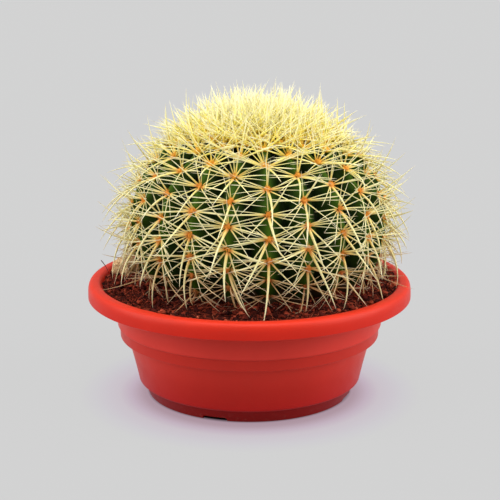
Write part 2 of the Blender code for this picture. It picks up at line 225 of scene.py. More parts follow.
# Scale of the swings, and what youth and age change: young spines swing more, lift towards
# YOUNG_LIFT degrees with a scatter, and are thicker, and old ones are fewer and thinner. A root
# lies ROOT_OUT from its areole's middle, and ROOT_SUNK under the skin.
SWING = 0.75
YOUNG_SWING = 1.5
YOUNG_LIFT = 36
YOUNG_PULL = 0.7
YOUNG_SCATTER = 13
YOUNG_OUTWARD = 6
STEEPEST = 84
YOUNG_THICKER = 0.45
OLD_FEWER = 0.35
OLD_THINNER = 0.28
THINNER = 0.2
ROOT_OUT = 0.0013
ROOT_SUNK = 0.0010

# Young areoles have up to TUFT more spines in all directions, and round the very middle of the
# crown stand the spines of the newest areoles: lifts in degrees, lengths and root radii.
TUFT = 3
TUFT_LIFT = (2.0, 60.0)
TUFT_LENGTH = (0.024, 0.040)
TUFT_RADIUS = (0.00060, 0.00090)
NEWEST = 48
NEWEST_SPINES = 7
NEWEST_LIFT = (6.0, 66.0)
NEWEST_LENGTH = (0.020, 0.038)
NEWEST_ARC = (0.0022, 0.0160)
GOLDEN_ANGLE = math.radians(137.5)

# One long central spine, of this rib and areole, crosses the lip: its turn and lift, length and curve.
OVER_LIP = (2, -1)
OVER_LIP_LEAVING = (math.radians(156), math.radians(64))
OVER_LIP_LENGTH = 0.036
OVER_LIP_BEND = math.radians(8)

# A spine's hoops of points, by their share of its length, and how flat it is. No spine goes past
# REACH to any side or past TOP_REACH: those that would are shortened.
SPINE_SIDES = 6
SPINE_RINGS = (0.0, 0.05, 0.14, 0.28, 0.44, 0.6, 0.76, 0.9, 0.97)
SPINE_FLATNESS = 0.82
REACH = 0.1394
TOP_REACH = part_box("cactus")[1].z - 0.0003
CLEAR_OF_MIX = 0.0004
CLEAR_OF_LIP = 0.0007

# The plastic's colour by height, as a share of BOWL_TONE_TOP metres: the foot, the body, the ring,
# the collar, and the lip from its lower edge to its top. These tones are painted light and shade:
# the foot and lower body darker as painted shade, the ring darker as painted shade, the collar
# lighter as painted light under the lip, and the lip darker at its lower edge than at its top.
BOWL_TONE_TOP = 0.12
BOWL_PAINTED_SHADE_TONES = (
    (0.083, (0.21, 0.0035, 0.001)), (0.093, (0.38, 0.008, 0.005)), (0.25, (0.43, 0.014, 0.007)),
    (0.41, (0.53, 0.025, 0.014)), (0.43, (0.475, 0.021, 0.012)), (0.51, (0.475, 0.021, 0.012)),
    (0.53, (0.61, 0.037, 0.025)), (0.69, (0.61, 0.037, 0.025)), (0.72, (0.50, 0.013, 0.005)),
    (0.79, (0.53, 0.018, 0.007)), (0.86, (0.57, 0.034, 0.013)), (1.0, (0.55, 0.040, 0.016)),
)

# Materials that follow one noise: roughness, specular level, the noise's scale, detail and
# roughness, the bump's distance and strength, and the colours by the noise's value.
GRAINY = {
    "crown_wool": (0.95, 0.15, (520.0, 5.0, 0.65), (0.0012, 0.8), (
        (0.3, (0.50, 0.26, 0.04)), (0.5, (0.78, 0.48, 0.07)), (0.75, (0.90, 0.68, 0.20)),
    )),
    # The mix's mass is dark coir; its near-black grains are partly painted shade for the gaps between
    # lumps.
    "mix_mass": (0.95, 0.08, (480.0, 6.0, 0.7), (0.0012, 0.9), (
        (0.38, (0.010, 0.002, 0.002)), (0.55, (0.056, 0.009, 0.005)), (0.72, (0.18, 0.030, 0.013)),
    )),
    "dry_husk": (0.85, 0.2, (900.0, 5.0, 0.6), (0.0006, 0.7), (
        (0.38, (0.16, 0.06, 0.020)), (0.5, (0.54, 0.34, 0.16)), (0.72, (0.78, 0.60, 0.35)),
    )),
    "dry_twig": (0.8, 0.2, (1600.0, 4.0, 0.55), (0.0002, 0.6), (
        (0.0, (0.020, 0.009, 0.008)), (1.0, (0.085, 0.040, 0.030)),
    )),
}

# The studio: the surroundings' tone, the floor's tone, and its glow, with shares of it by the distance
# from PAINTED_SHADOW_MIDDLE as a share of PAINTED_SHADOW_REACH, which paint a contact shadow round the
# bowl. Each light has its turn from the front to the right and its height in degrees, its width in
# degrees, and how brightly it lights a white face turned to it.
WORLD_TONE = (0.37, 0.37, 0.373)
FLOOR_TONE = (0.020, 0.020, 0.020)
FLOOR_SIZE = 12.0
FLOOR_DROP = 0.0002
FLOOR_GLOW = (0.608, 0.609, 0.609)
PAINTED_SHADOW_MIDDLE = (0.0, -0.006, 0.0)
PAINTED_SHADOW_REACH = 0.2
PAINTED_SHADOW_STOPS = (
    (0.41, (0.64, 0.45, 0.55)), (0.46, (0.68, 0.49, 0.58)), (0.49, (0.78, 0.60, 0.71)),
    (0.52, (0.87, 0.71, 0.84)), (0.57, (0.95, 0.86, 0.94)), (0.62, (0.965, 0.90, 0.975)),
    (0.675, (0.98, 0.955, 1.0)), (0.75, (1.0, 1.0, 1.0)),
)
LIGHTS = (
    ("key", 0.0, 87.0, 50.0, 0.66),
    ("left", -78.0, 28.0, 60.0, 0.76),
    ("right", 80.0, 28.0, 60.0, 0.92),
    ("front", -5.0, 30.0, 60.0, 0.02),
    ("high", -5.0, 66.0, 40.0, 0.08),
)
CAMERA_AT = (0.0005, -1.2803, 0.4496)
CAMERA_PITCH = math.radians(90.0 - 14.22)
CAMERA_LENS = 109.66
CAMERA_CLIP = (0.05, 60.0)

TABLE = np.random.default_rng(SEED).random(4096)
HASH = (73856093, 19349663, 83492791)


def value_noise(points, size, seed=0):
    """Smooth random values from -1 to 1 at the points, on a lattice with cells of this size."""
    place = np.asarray(points, float) / size + 17.3 * seed
    cell = np.floor(place).astype(np.int64)
    share = smooth(place - cell)
    total = 0.0
    for corner in np.ndindex(2, 2, 2):
        key = np.bitwise_xor.reduce((cell + corner) * HASH, axis=-1)
        total = total + TABLE[key % len(TABLE)] * np.prod(np.where(corner, share, 1 - share), axis=-1)
    return 2 * total - 1


def rough_noise(points, size, seed=0, octaves=3):
    """Several layers of value noise, each half the size and half as strong."""
    total = 0.0
    for layer in range(octaves):
        total = total + value_noise(points, size * 0.5 ** layer, seed + 3 * layer) * 0.5 ** layer
    return total


def smooth(value):
    share = np.clip(value, 0.0, 1.0)
    return share * share * (3 - 2 * share)


def rise(value, start, end):
    """0 before the start, 1 past the end, and smooth between them. The end may be the lower one."""
    return float(smooth((value - start) / (end - start)))


def unit(vectors):
    """The vectors, or the one vector, at length 1."""
    return vectors / np.linalg.norm(vectors, axis=-1, keepdims=True)


def mesh_of(name, points, faces, values=None, uv=None):
    """A smooth-shaded mesh. faces is a list of arrays, each of faces with equally many corners."""
    mesh = bpy.data.meshes.new(name)
    mesh.from_pydata(np.asarray(points), [], [face for group in faces for face in group.tolist()])
    mesh.validate()
    mesh.shade_smooth()
    for key, numbers in (values or {}).items():
        layer = mesh.attributes.new(key, "FLOAT", "POINT")
        layer.data.foreach_set("value", np.asarray(numbers, np.float32))
    if uv is not None:
        mesh.uv_layers.new(name="OFBake").data.foreach_set("uv", uv.astype(np.float32).ravel())
    return mesh


def linked(name, data):
    """A new object in the scene with this data."""
    thing = bpy.data.objects.new(name, data)
    bpy.context.scene.collection.objects.link(thing)
    return thing


def piece(name, look, node, points, faces, values=None, uv=None):
    """A mesh as a piece that rides on the one body and stands for the frame's node."""
    mesh = mesh_of(name, points, faces, values, uv)
    mesh.materials.append(look)
    thing = linked(name, mesh)
    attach(thing, "root")
    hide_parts(node)
    return thing


class Look:
    """A material under construction, with short ways to add and link its nodes."""

    def __init__(self, name, roughness=0.5, specular=0.5):
        self.material = bpy.data.materials.new(name)
        self.material.use_nodes = True
        self.tree = self.material.node_tree
        self.shader = self.tree.nodes["Principled BSDF"]
        self.shader.inputs["Roughness"].default_value = roughness
        self.shader.inputs["Specular IOR Level"].default_value = specular

    def feed(self, socket, source):
        """Link another node's output to the socket, or set a number or a colour on it."""
        if isinstance(source, bpy.types.NodeSocket):
            self.tree.links.new(source, socket)
        else:
            socket.default_value = (*source, 1.0) if isinstance(source, tuple) else source

    def node(self, kind, **settings):
        """A new node. A setting with the name of one of its inputs feeds that input."""
        made = self.tree.nodes.new("ShaderNode" + kind)
        for key, value in settings.items():
            if key in made.inputs:
                self.feed(made.inputs[key], value)
            else:
                setattr(made, key, value)
        return made

    def place(self):
        return self.node("TexCoord").outputs["Object"]

    def value(self, name):
        return self.node("Attribute", attribute_name=name).outputs["Fac"]

    def axis(self, letter):
        return self.node("SeparateXYZ", Vector=self.place()).outputs[letter]

    def noise(self, scale, detail=4.0, roughness=0.55):
        settings = {"Scale": scale, "Detail": detail, "Roughness": roughness}
        return self.node("TexNoise", Vector=self.place(), **settings).outputs["Fac"]

    def ramp(self, source, stops):
        made = self.node("ValToRGB", Fac=source)
        elements = made.color_ramp.elements
        while len(elements) < len(stops):
            elements.new(0.5)
        for element, (at, colour) in zip(elements, stops):
            element.position = at
            element.color = (*colour, 1.0)
        return made.outputs["Color"]

    def mixed(self, share, first, second):
        made = self.node("Mix", data_type="RGBA")
        for socket, source in ((0, share), (6, first), (7, second)):
            self.feed(made.inputs[socket], source)
        return made.outputs[2]

    def spread(self, source, low, high, to_low=0.0, to_high=1.0):
        limits = {"From Min": low, "From Max": high, "To Min": to_low, "To Max": to_high}
        return self.node("MapRange", Value=source, **limits).outputs["Result"]

    def maths(self, operation, first, second=0.0):
        made = self.node("Math", operation=operation)
        self.feed(made.inputs[0], first)
        self.feed(made.inputs[1], second)
        return made.outputs[0]

    def scaled(self, colour, factor):
        made = self.node("VectorMath", operation="SCALE", Vector=colour, Scale=factor)
        return made.outputs["Vector"]

    def distance(self, middle):
        """How far each place lies from this one."""
        made = self.node("VectorMath", operation="DISTANCE", Vector=self.place())
        made.inputs[1].default_value = middle
        return made.outputs["Value"]

    def bump(self, source, distance, strength, **under):
        made = self.node("Bump", Height=source, Distance=distance, Strength=strength, **under)
        return made.outputs["Normal"]

    def grained(self, colour, scale, detail, spread, dark, bump):
        """The finished material, with grains of a darker colour that stand out of the surface."""
        grain = self.noise(scale, detail)
        return self.finish(self.mixed(self.spread(grain, *spread), colour, dark), self.bump(grain, *bump))

    def finish(self, colour, normal=None, roughness=None):
        for name, source in (("Base Color", colour), ("Normal", normal), ("Roughness", roughness)):
            if source is not None:
                self.feed(self.shader.inputs[name], source)
        return self.material


def plastic_look():
    """Satin red plastic: faint mottling and turning marks, dust, most of it near the foot, and painted
    shade and light by height.
    """
    look = Look("bowl_plastic", specular=0.14)
    height = look.axis("Z")
    # Base colour by height: painted shade on the foot, lower body, ring and lip's lower edge, painted light
    # on the collar.
    base = look.ramp(look.spread(height, 0.0, BOWL_TONE_TOP), BOWL_PAINTED_SHADE_TONES)
    base = look.scaled(base, look.spread(look.noise(34.0, 3.0), 0.3, 0.7, 0.97, 1.03))
    dust = look.spread(look.noise(260.0, 5.0, 0.7), 0.56, 0.74)
    dust = look.maths("MULTIPLY", dust, look.spread(height, 0.0, 0.012, 0.35, 0.05))
    base = look.mixed(dust, base, (0.30, 0.13, 0.09))
    marks = look.node("TexWave", wave_type="BANDS", bands_direction="Z", Scale=420.0,
                      Distortion=0.6, Vector=look.place())
    normal = look.bump(look.noise(2600.0, 2.0), 0.00006, 0.35)
    normal = look.bump(marks.outputs["Fac"], 0.00002, 0.18, Normal=normal)
    return look.finish(base, normal, look.spread(look.noise(90.0, 4.0), 0.3, 0.7, 0.36, 0.46))


def skin_look():
    """The plant's skin: dark green, paler along the crests, near-black into the valleys and darker towards
    the soil as painted shade, with corky brown bark near the soil whose darkness is partly painted shade.
    """
    look = Look("cactus_skin", specular=0.05)
    # Near-black towards the valleys: painted shade in the ribs' recesses.
    green = look.ramp(look.value("valley"), (
        (0.0, (0.048, 0.104, 0.007)), (0.16, (0.030, 0.068, 0.004)), (0.45, (0.009, 0.023, 0.002)),
        (0.8, (0.0015, 0.0045, 0.001)), (1.0, (0.001, 0.002, 0.0008)),
    ))
    mottle = look.noise(120.0, 5.0, 0.6)
    green = look.mixed(look.spread(mottle, 0.35, 0.75, 0.0, 0.22), green, (0.046, 0.110, 0.008))
    fleck = look.spread(look.noise(1500.0, 2.0), 0.66, 0.74, 0.0, 0.2)
    green = look.mixed(fleck, green, (0.10, 0.18, 0.05))
    # Darker towards the soil: painted shade under the spines and the plant's overhang.
    green = look.scaled(green, look.spread(look.axis("Z"), 0.104, 0.138, 0.3, 1.0))
    patches = look.spread(look.noise(60.0, 6.0, 0.65), 0.3, 0.7, -0.35, 0.35)
    cork = look.spread(look.maths("ADD", look.value("cork"), patches), 0.45, 0.75)
    # Corky bark near the soil, its dark brown partly painted shade.
    bark_and_painted_shade = look.mixed(look.noise(700.0, 4.0), (0.030, 0.016, 0.008), (0.075, 0.045, 0.022))
    normal = look.bump(look.noise(1900.0, 3.0), 0.0002, 0.45)
    normal = look.bump(mottle, 0.0006, 0.25, Normal=normal)
    return look.finish(look.mixed(cork, green, bark_and_painted_shade), normal, look.spread(mottle, 0.3, 0.7, 0.42, 0.6))


def spine_look():
    """Horn-like spines: orange-brown roots, yellow shafts, paler tips, tan and dull when old."""
    look = Look("spine_horn", specular=0.35)
    for name, value in (("Weight", 0.35), ("Radius", (0.0040, 0.0032, 0.0018)), ("Scale", 1.0)):
        look.shader.inputs["Subsurface " + name].default_value = value
    along = look.value("along")
    young = look.ramp(along, (
        (0.0, (0.80, 0.35, 0.03)), (0.12, (0.95, 0.61, 0.05)), (0.34, (0.97, 0.81, 0.13)),
        (0.6, (0.95, 0.87, 0.34)), (1.0, (0.93, 0.88, 0.60)),
    ))
    grown = look.ramp(along, (
        (0.0, (0.62, 0.13, 0.015)), (0.05, (0.76, 0.27, 0.04)), (0.13, (0.83, 0.60, 0.18)),
        (0.35, (0.77, 0.68, 0.31)), (0.85, (0.77, 0.70, 0.40)), (1.0, (0.64, 0.47, 0.27)),
    ))
    old = look.ramp(along, (
        (0.0, (0.22, 0.045, 0.013)), (0.07, (0.34, 0.12, 0.038)), (0.2, (0.48, 0.26, 0.11)),
        (0.6, (0.52, 0.31, 0.16)), (1.0, (0.34, 0.17, 0.10)),
    ))
    age = look.value("age")
    colour = look.mixed(look.spread(age, 0.0, 0.5), young, grown)
    colour = look.mixed(look.spread(age, 0.5, 1.0), colour, old)
    colour = look.scaled(colour, look.spread(look.value("tone"), 0.0, 1.0, 0.92, 1.02))
    streak = look.noise(420.0, 3.0)
    colour = look.mixed(look.spread(streak, 0.58, 0.85, 0.0, 0.12), colour, (0.70, 0.46, 0.18))
    rings = look.maths("SINE", look.maths("MULTIPLY", along, 230.0))
    return look.finish(colour, look.bump(rings, 0.00008, 0.15), look.spread(streak, 0.3, 0.7, 0.34, 0.5))


def felt_look():
    """The areoles' felt: orange-brown, yellow when young, greyish brown when old."""
    look = Look("areole_felt", roughness=0.95, specular=0.15)
    colour = look.ramp(look.value("age"), (
        (0.0, (0.92, 0.60, 0.05)), (0.25, (0.88, 0.44, 0.045)), (0.6, (0.80, 0.26, 0.032)),
        (0.85, (0.48, 0.12, 0.022)), (1.0, (0.26, 0.08, 0.02)),
    ))
    tone = look.spread(look.value("tone"), 0.0, 1.0, 0.0, 0.4)
    colour = look.mixed(tone, colour, (0.80, 0.38, 0.09))
    return look.grained(colour, 2400.0, 3.0, (0.4, 0.7, 0.0, 0.5), (0.36, 0.070, 0.014), (0.0003, 0.6))


def crumb_look():
    """Crumbs and fibres of coir: from nearly black to a rusty brown, a few straw-coloured."""
    look = Look("coir_crumbs", roughness=0.95, specular=0.08)
    colour = look.ramp(look.value("tone"), (
        (0.0, (0.006, 0.0015, 0.0015)), (0.3, (0.045, 0.006, 0.005)), (0.55, (0.20, 0.027, 0.013)),
        (0.8, (0.40, 0.060, 0.028)), (0.95, (0.52, 0.11, 0.05)), (1.0, (0.60, 0.24, 0.12)),
    ))
    return look.grained(colour, 1400.0, 4.0, (0.35, 0.75, 0.0, 0.5), (0.045, 0.010, 0.006), (0.0004, 0.7))


def grainy_look(name):
    """A dull material whose colour and bump follow one noise."""
    roughness, specular, noise, bump, colours = GRAINY[name]
    look = Look(name, roughness, specular)
    grain = look.noise(*noise)
    return look.finish(look.ramp(grain, colours), look.bump(grain, *bump))


def floor_look():
    """The pale studio floor, which glows as a lit table does, with a painted contact shadow round the bowl
    and no glow, as painted shade, where the bowl covers it.
    """
    look = Look("studio_floor", roughness=0.8, specular=0.0)
    # No glow under the bowl's foot: painted shade.
    past_painted_shade = look.spread(look.distance((0.0, 0.0, 0.0)), FOOT_R - 0.004, FOOT_R + 0.002)
    # The glow fades towards the bowl: a painted contact shadow.
    share = look.spread(look.distance(PAINTED_SHADOW_MIDDLE), 0.0, PAINTED_SHADOW_REACH)
    glow = look.ramp(share, [(at, np.multiply(colour, FLOOR_GLOW)) for at, colour in PAINTED_SHADOW_STOPS])
    look.feed(look.shader.inputs["Emission Color"], look.scaled(glow, past_painted_shade))
    look.shader.inputs["Emission Strength"].default_value = 1.0
    return look.finish(FLOOR_TONE)


def circle(count):
    return 2 * np.pi * np.arange(count) / count


def round_axis(radius, turn, z, middle=0.0):
    """Points at these radii, turns and heights round the upright axis at x = middle."""
    x = middle + radius * np.sin(turn)
    return np.stack(np.broadcast_arrays(x, -radius * np.cos(turn), z), axis=-1)


def on_plant(radius, turn, z):
    return round_axis(radius, turn, z, AXIS_X)


def fan(start, sides, tip):
    """The faces between a ring, from its first point on, and the point tip."""
    i = np.arange(sides)
    return np.stack([start + i, start + (i + 1) % sides, np.full(sides, tip)], axis=1)


def ring_quads(rows, sides):
    """The faces between rows of rings with equally many points."""
    i = np.arange(sides)
    j = (i + 1) % sides
    low = (np.arange(rows - 1) * sides)[:, None]
    return np.stack([low + i, low + j, low + sides + j, low + sides + i], axis=-1).reshape(-1, 4)


def closed_rings(rings, start, end):
    """Points and faces of rings of equally many points, closed by a point at either end."""
    rows, sides = len(rings), len(rings[0])
    points = np.vstack([*rings, start, end])
    fans = [fan(0, sides, len(points) - 2)[:, [1, 0, 2]], fan((rows - 1) * sides, sides, len(points) - 1)]
    return points, [ring_quads(rows, sides), np.concatenate(fans)]


def cells(count, part):
    """The map places of one item's part, for each of count items in a cell of a square grid."""
    side = math.ceil(math.sqrt(count))
    index = np.arange(count)
    cell = np.stack([index % side, index // side], axis=-1)[:, None]
    return ((cell + 0.03 + 0.94 * np.reshape(part, (-1, 2))) / side).reshape(-1, 2)


def facing_out(mesh):
    shape = bmesh.new()
    shape.from_mesh(mesh)
    bmesh.ops.recalc_face_normals(shape, faces=shape.faces)
    shape.to_mesh(mesh)
    shape.free()


def moved_out(outline, distance):
    """The outline of (radius, height) points, each moved to the left of its run by the distance."""
    run = unit(np.diff(outline, axis=0))
    normals = np.column_stack([-run[:, 1], run[:, 0]])
    mean = (np.vstack([normals[:1], normals]) + np.vstack([normals, normals[-1:]])) / 2
    return (outline + mean * distance / (mean ** 2).sum(axis=1, keepdims=True)).tolist()


def lip_arc(crest_r, outer_r, low_z, high_z, steps):
    """The lip's dome from its crest out to its lower edge."""
    turn = np.linspace(0.0, 0.5 * math.pi, steps + 1)
    out = np.sin(turn) ** (2 / LIP_FULLNESS)
    up = np.cos(turn) ** (2 / LIP_FULLNESS)
    return np.column_stack([crest_r + (outer_r - crest_r) * out, low_z + (high_z - low_z) * up]).tolist()


def body_radius(z):
    above = z - BODY_BOTTOM_Z
    return BODY_BOTTOM_R + BODY_FLARE * above + BODY_CURVE * above * above


def body_outline(inward, top_z, low_z, steps):
    return [(body_radius(z) - inward, z) for z in np.linspace(top_z, low_z, steps + 1)]


def flare_outline():
    return [(LIP_CREST_R - WALL / 2, LIP_TOP_Z - WALL - EASE), *FLARE]


def eased(corners, reach, steps=4):
    """The outline with its sharper corners rounded, each from this reach before it to as far after."""
    out = [corners[0]]
    for before, here, after in zip(corners, corners[1:], corners[2:]):
        here = np.array(here)
        back, ahead = before - here, after - here
        if np.dot(unit(back), unit(ahead)) < -0.985:
            out.append(here)
            continue
        start = here + back * min(reach / np.hypot(*back), 0.45)
        end = here + ahead * min(reach / np.hypot(*ahead), 0.45)
        for t in np.linspace(0.0, 1.0, steps + 1):
            out.append((1 - t) ** 2 * start + 2 * t * (1 - t) * here + t * t * end)
    return [*out, corners[-1]]


def inside_outline():
    """The bowl's inner face, from the edge of its floor up to the lip."""
    inside = [(BODY_BOTTOM_R - WALL - FOOT_WIDTH, FLOOR_Z + WALL)]
    inside += body_outline(WALL, RING_Z - WALL, BODY_BOTTOM_Z + WALL, 6)[::-1]
    inside += [(body_radius(RING_Z) - WALL + EASE, RING_Z + WALL - EASE)]
    inside += [(RING_R - WALL - EASE, RING_Z + WALL + EASE)]
    inside += moved_out(flare_outline(), -WALL)[1:][::-1]
    inside += [(LIP_CREST_R - 4 * EASE, LIP_TOP_Z - 3 * EASE)]
    inside += [(LIP_CREST_R - 1.5 * EASE, LIP_TOP_Z - EASE / 2)]
    return inside


INSIDE_R, INSIDE_Z = np.array(inside_outline()).T


def bowl_profile():
    """The bowl's closed section, from the floor's middle up the inside and down the outside."""
    edge_z = LIP_BOTTOM_Z + EASE
    dome = lip_arc(LIP_CREST_R, LIP_R, edge_z, LIP_TOP_Z, steps=28)
    rim = [(LIP_R, edge_z), (LIP_R - EASE, LIP_BOTTOM_Z), (LIP_R - WALL + EASE, LIP_BOTTOM_Z)]
    under = lip_arc(LIP_CREST_R, LIP_R - WALL, edge_z, LIP_TOP_Z - WALL, steps=10)
    outer = flare_outline()
    outer += [(COLLAR_R, COLLAR_Z), (RING_R, COLLAR_Z - EASE), (RING_R - EASE / 3, RING_Z)]
    outer += body_outline(0.0, RING_Z - EASE, BODY_BOTTOM_Z + 2.5 * EASE, steps=14)
    outer += [(BODY_BOTTOM_R - 2 * EASE, BODY_BOTTOM_Z + EASE / 2), (FOOT_TOP_R, BODY_BOTTOM_Z - EASE)]
    outer += [(FOOT_R, 0.0), (FOOT_R - FOOT_WIDTH, 0.0), (FOOT_R - FOOT_WIDTH - EASE, FLOOR_Z)]
    profile = eased([(0.0, FLOOR_Z + WALL)] + inside_outline() + dome[:1], EASE_INSIDE)
    profile += dome[1:-1] + eased(rim + under[-2:0:-1], EASE)
    profile += eased(outer + [(0.0, FLOOR_Z)], EASE_OUTSIDE)
    return profile


def notch_cutter(shape):
    """A block with rounded edges along Y, across the foot ring."""
    bmesh.ops.create_cube(shape, size=1.0)
    bmesh.ops.scale(shape, vec=(NOTCH_WIDTH, CUTTER_LENGTH, 2 * NOTCH_HEIGHT), verts=shape.verts)
    along = [e for e in shape.edges if abs(e.verts[0].co.y - e.verts[1].co.y) > CUTTER_LENGTH / 2]
    bmesh.ops.bevel(shape, geom=along, offset=NOTCH_ROUND, segments=3, affect="EDGES")


def cutters():
    """The drain notches in the foot ring and the drain holes in the floor, in one collection."""
    group = bpy.data.collections.new("drainage")
    bpy.context.scene.collection.children.link(group)
    for i in range(NOTCHES + DRAINS):
        shape = bmesh.new()
        if i < NOTCHES:
            notch_cutter(shape)
            turn = NOTCH_TURN + 2 * math.pi * i / NOTCHES
            radius, height = FOOT_R - FOOT_WIDTH / 2, 0.0
        else:
            bmesh.ops.create_cone(
                shape, cap_ends=True, segments=32, radius1=DRAIN_R, radius2=DRAIN_R, depth=CUTTER_LENGTH
            )
            turn = 2 * math.pi * (i - NOTCHES + 0.5) / DRAINS
            radius, height = DRAIN_CIRCLE_R, FLOOR_Z + WALL / 2
        mesh = bpy.data.meshes.new("cutter")
        shape.to_mesh(mesh)
        shape.free()
        cutter = bpy.data.objects.new(f"cutter_{i}", mesh)
        cutter.location = round_axis(radius, turn, height)
        cutter.rotation_euler = (0.0, 0.0, turn)
        group.objects.link(cutter)
    return group


def make_bowl(look):
    """The bowl: the turned section, less the drain notches and holes."""
    profile = bowl_profile()
    rings = [round_axis(r, circle(BOWL_SEGMENTS), z) for r, z in profile[1:-1]]
    points, faces = closed_rings(rings, [0.0, 0.0, profile[0][1]], [0.0, 0.0, profile[-1][1]])
    bowl = piece("bowl", look, "pot", points, faces)
    facing_out(bowl.data)
    group = cutters()
    cut = bowl.modifiers.new("drainage", "BOOLEAN")
    cut.operation = "DIFFERENCE"
    cut.solver = "EXACT"
    cut.operand_type = "COLLECTION"
    cut.collection = group
    bpy.context.view_layer.objects.active = bowl
    bpy.ops.object.modifier_apply(modifier=cut.name)
    for cutter in list(group.objects):
        bpy.data.objects.remove(cutter)
    bpy.data.collections.remove(group)
    bowl.data.shade_smooth()
    bowl.data.set_sharp_from_angle(angle=SHARP)


def soil_height(x, y):
    """The mix's uneven top, as in the frame."""
    waves = sum(share * np.sin(a * x + b * y + phase) for a, b, phase, share in SOIL_WAVES)
    mound = smooth((MOUND_R - np.hypot(x - AXIS_X, y)) / MOUND_WIDTH)
    return SOIL_Z + SOIL_WAVE * waves + SOIL_RISE * mound


def wall_radius(z):
    """The radius of the bowl's inner face at these heights, less the gap."""
    return np.interp(z, INSIDE_Z, INSIDE_R) - GAP


def soil_surface(x, y):
    """The finer top: lumps and pits on the uneven top."""
    place = np.stack([x, y, 0 * x], axis=-1)
    return soil_height(x, y) + sum(high * rough_noise(place, *layer) for high, *layer in SOIL_LUMPS)


def skin_radius(turn):
    """The plant's radius where it leaves the mix, by the turn round its axis."""
    share = 2 * np.abs((turn - FIRST_RIB) / PITCH - np.round((turn - FIRST_RIB) / PITCH))
    return np.interp(share, SKIN_SHARE, SKIN_R)


def make_mix(look):
    """The mix: a fine uneven top round the plant, filling the bowl, with a hole for the plant's foot."""
    turns = circle(RIBS * BODY_COLUMNS)
    edge_x, edge_y, _ = round_axis(wall_radius(SOIL_Z), turns, 0.0).T
    edge_z = soil_surface(edge_x, edge_y)
    edge = round_axis(wall_radius(edge_z), turns, edge_z)
    foot = on_plant(skin_radius(turns) - 3 * GAP, turns, edge_z)
    floor_z = FLOOR_Z + WALL + GAP
    walled = [floor_z, *(z for z in INSIDE_Z[1:] if z < WALLED_Z)]
    rings = [round_axis(wall_radius(z) - GAP, turns, z) for z in walled] + [edge]
    for share in np.linspace(0.0, 1.0, MIX_ROWS)[1:]:
        ring = edge * (1 - share) + foot * share
        ring[:, 2] = soil_surface(ring[:, 0], ring[:, 1])
        rings.append(ring)
    rings += [on_plant(r + 2 * GAP, turns, z) for r, z in ROOT]
    points, faces = closed_rings(rings, [0, 0, floor_z], [AXIS_X, 0, ROOT_END_Z - GAP])
    facing_out(piece("mix", look, "soil", points, faces).data)


def scattered(rng, count, margin):
    """Random places on the mix, between the bowl's wall and the plant."""
    x, y = rng.uniform(-LIP_CREST_R, LIP_CREST_R, (2, 8 * count))
    inside = np.hypot(x, y) < wall_radius(soil_height(x, y)) - margin
    outside = np.hypot(x - AXIS_X, y) > skin_radius(np.arctan2(x - AXIS_X, -y)) - margin
    return np.column_stack([x, y])[inside & outside][:count]


def ball(level):
    shape = bmesh.new()
    bmesh.ops.create_icosphere(shape, subdivisions=level, radius=1.0)
    points = np.array([v.co for v in shape.verts])
    faces = np.array([[v.index for v in f.verts] for f in shape.faces])
    shape.free()
    return points, faces


def turned_at_random(rng, count):
    """One random rotation matrix for each, from a quaternion's real part and its vector."""
    quaternion = unit(rng.normal(size=(count, 4)))
    cross = np.cross(quaternion[:, None, 1:], np.eye(3)).transpose(0, 2, 1)
    return np.eye(3) + 2 * (quaternion[:, :1, None] * cross + cross @ cross)


def copies(shape, faces, count):
    """The faces and the map of this many copies of a ball's points."""
    every = faces[None] + (np.arange(count) * len(shape))[:, None, None]
    flat = 0.5 + 0.48 * shape[:, :2] / (1.0 + np.abs(shape[:, 2:]))
    return [every.reshape(-1, 3)], cells(count, flat[faces.ravel()])


def make_crumbs(look):
    """Loose crumbs of coir on the mix: many small ones and some larger lumps."""
    rng = np.random.default_rng(SEED + 1)
    for name, level, count, least, most in CRUMBS:
        shape, faces = ball(level)
        places = scattered(rng, count, most * 0.5)
        count = len(places)
        sizes = least + (most - least) * rng.random(count) ** 2.2
        stretch = rng.uniform(*CRUMB_STRETCH, (count, 3))
        uneven = rng.uniform(*CRUMB_UNEVEN, (count, len(shape), 1))
        points = shape[None] * uneven * stretch[:, None] * sizes[:, None, None]
        points = np.einsum("nij,nkj->nki", turned_at_random(rng, count), points)
        points[..., 2] *= 0.8
        height = soil_surface(*places.T) + sizes * rng.uniform(*CRUMB_STANDS, count)
        points += np.column_stack([places, height])[:, None]
        clumps = value_noise(np.column_stack([places, 0 * height]), 0.012, 8)
        tone = np.clip(rng.beta(1.5, 1.9, count) + 0.16 * clumps, 0.0, 1.0)
        values = {"tone": np.repeat(tone, len(shape))}
        every, uv = copies(shape, faces, count)
        piece(name, look, "soil", points.reshape(-1, 3), every, values, uv)


def crest_curve():
    """Arc length above the widest level, radius and height along a rib's crest, as three arrays."""
    low = np.linspace(-1.0, 0.0, 300, endpoint=False)
    high = np.linspace(0.0, 0.5 * math.pi, 600)
    turn = np.concatenate([low, high])
    height = np.where(turn < 0, LOWER_HEIGHT, UPPER_HEIGHT)
    power = 2 / np.where(turn < 0, LOWER_FULLNESS, UPPER_FULLNESS)
    radius = CREST_R * np.abs(np.cos(turn)) ** power
    z = EQUATOR_Z + np.sign(turn) * height * np.abs(np.sin(turn)) ** power
    z -= CROWN_DIP * np.clip(1 - radius / CROWN_R, 0, 1) ** 1.5 * (turn > 0)
    arc = np.concatenate([[0.0], np.cumsum(np.hypot(np.diff(radius), np.diff(z)))])
    return arc - arc[len(low)], radius, z


ARC, ARC_R, ARC_Z = crest_curve()
APEX_ARC = float(ARC[-1])
SOIL_ARC = float(np.interp(SOIL_LINE_Z, ARC_Z[ARC <= 0], ARC[ARC <= 0]))


